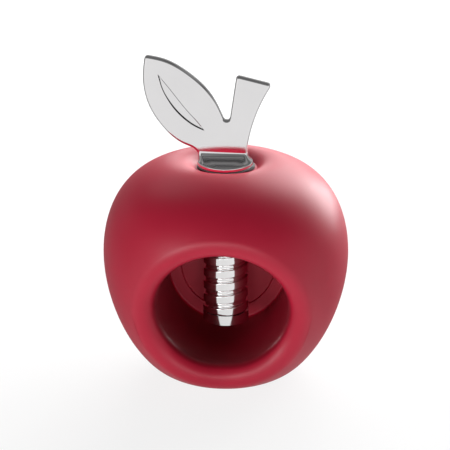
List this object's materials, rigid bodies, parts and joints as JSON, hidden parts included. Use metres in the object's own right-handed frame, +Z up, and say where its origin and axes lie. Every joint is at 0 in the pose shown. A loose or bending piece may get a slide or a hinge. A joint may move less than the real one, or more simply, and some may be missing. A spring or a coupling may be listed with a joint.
{
  "type": "screw nutcracker",
  "caption": "Apple-shaped screw nutcracker: a hollow red body with a round front cavity and a coarse screw turned down on the nut by a leaf-and-stem handle.",
  "frame": {"origin": "middle of the rubber pad's resting face, on the screw's axis", "axes": "+Z up along the screw, the cavity opens along -Y, the leaf points to -X"},
  "size_m": [0.09, 0.0864, 0.1207],
  "materials": {
    "red_skin": "soft satin coat",
    "red_casting": "satin enamel",
    "screw_chrome": "polished",
    "handle_chrome": "polished",
    "bush_brass": "turned",
    "fastener_steel": "zinc plated",
    "washer_plastic": "moulded",
    "pad_rubber": "moulded"
  },
  "bodies": {
    "body": {"upper_shell": "red_skin", "lower_shell": "red_skin", "cavity_core": "red_casting", "thread_bush": "bush_brass", "bush_dowel": "fastener_steel", "ear_screws": "fastener_steel", "base_screws": "fastener_steel", "rubber_pad": "pad_rubber", "thrust_washer": "washer_plastic"},
    "press_foot": {"press_foot": "screw_chrome", "foot_screw": "fastener_steel"},
    "spindle": {"spindle": "screw_chrome", "leaf_handle": "handle_chrome", "cross_pin": "fastener_steel"}
  },
  "joints": [
    {"name": "spindle_lift", "type": "slide", "parent": "body", "child": "press_foot", "axis": [0, 0, 1], "range_m": [0, 0.0375]},
    {"name": "spindle_turn", "type": "hinge", "parent": "press_foot", "child": "spindle", "pos_m": [0, 0, 0.05], "axis": [0, 0, 1], "range_deg": [0, 2700]}
  ],
  "couplings": [
    {"joint": "spindle_lift", "follows": "spindle_turn", "m_per_rad": 0.00079577}
  ]
}
